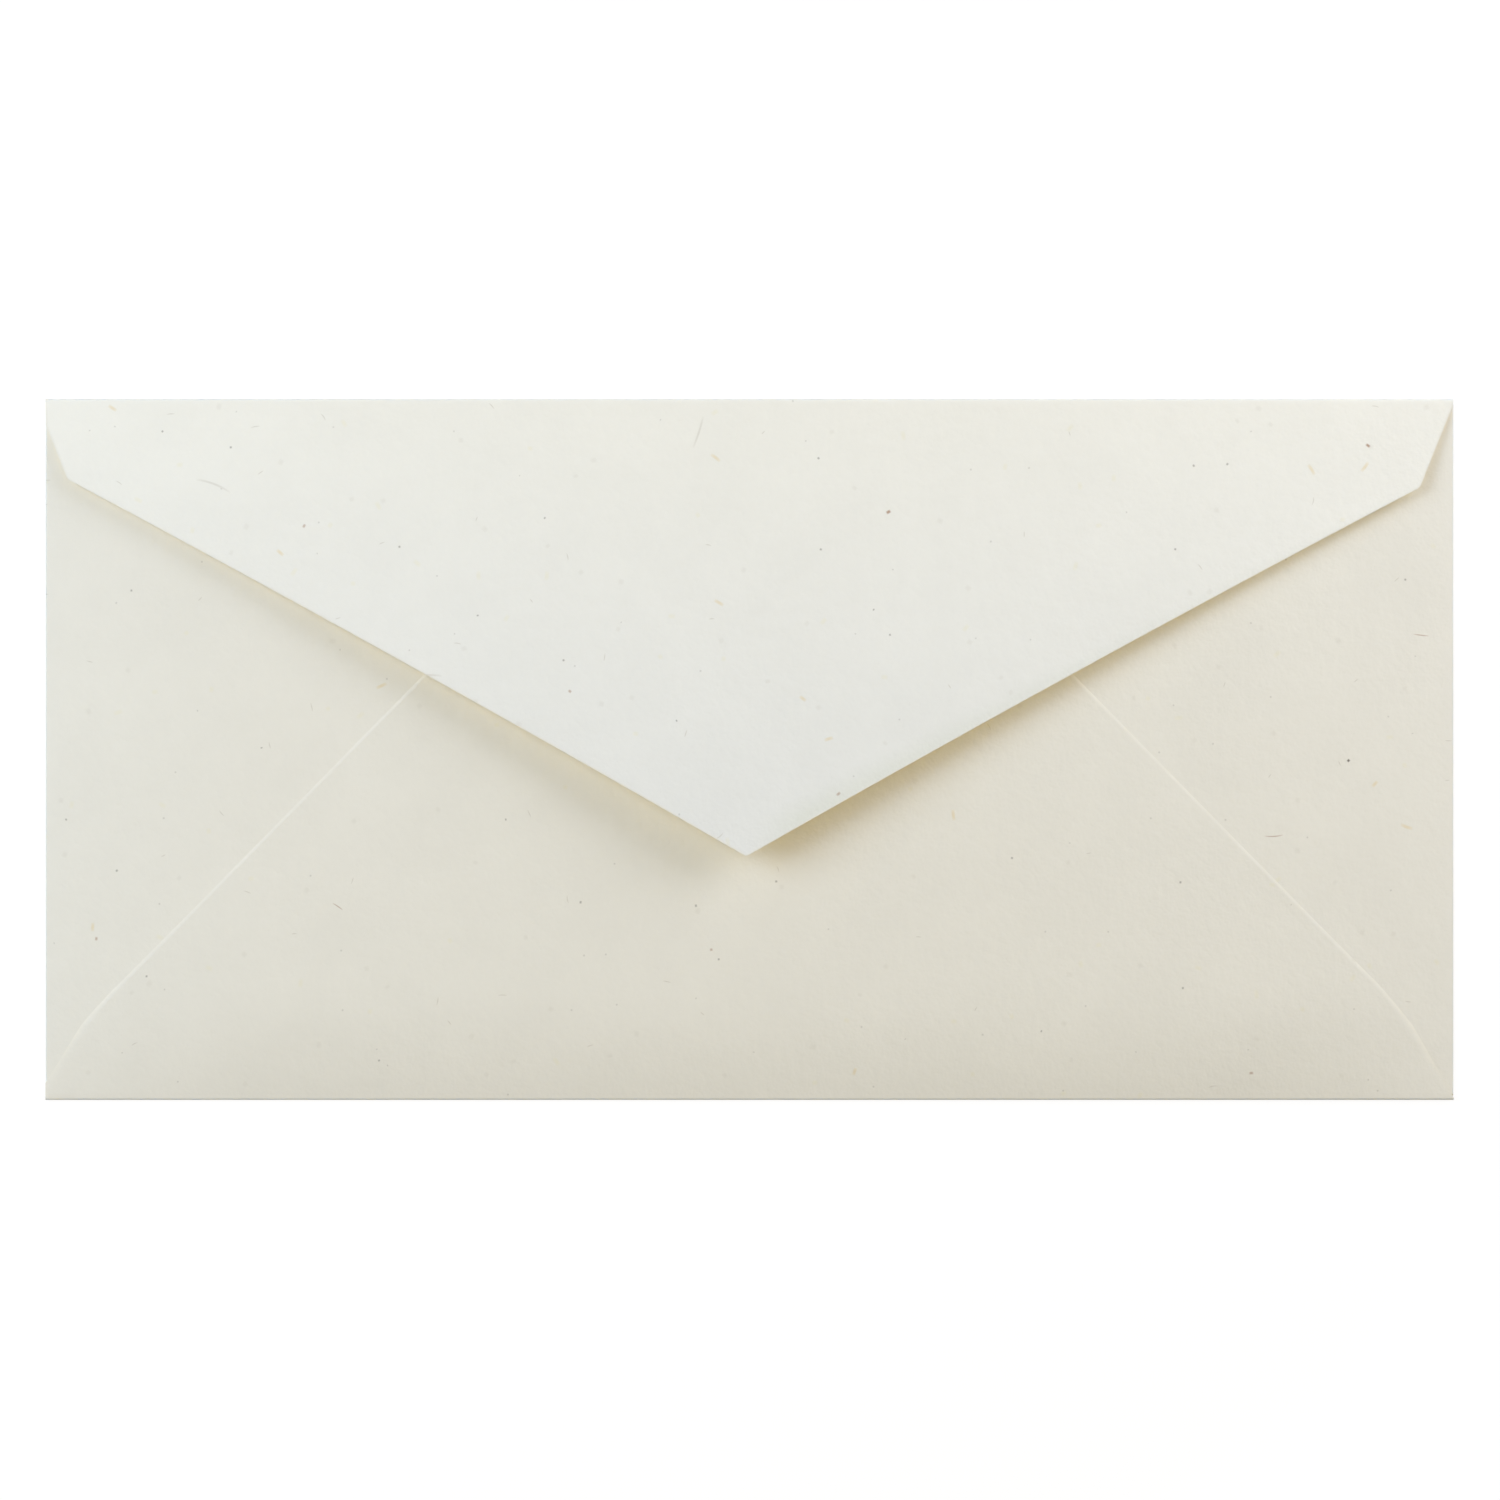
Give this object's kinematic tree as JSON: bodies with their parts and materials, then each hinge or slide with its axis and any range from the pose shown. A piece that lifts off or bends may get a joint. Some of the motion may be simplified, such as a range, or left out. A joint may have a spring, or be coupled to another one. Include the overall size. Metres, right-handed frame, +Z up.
{
  "type": "paper envelope",
  "caption": "Flat paper envelope folded and glued from one sheet, with slanted back seams and a pointed closing flap that stands slightly open.",
  "frame": {"origin": "middle of the rectangle that the envelope lies on, in the plane of the address side's outer face", "axes": "+X along the width, +Y from the bottom fold to the top fold, +Z up, from the address side to the flap side"},
  "size_m": [0.22, 0.11, 0.0089],
  "materials": {
    "paper": "matt uncoated natural white paper with fine fibre flecks"
  },
  "bodies": {
    "root": {"envelope": "paper"}
  },
  "joints": []
}
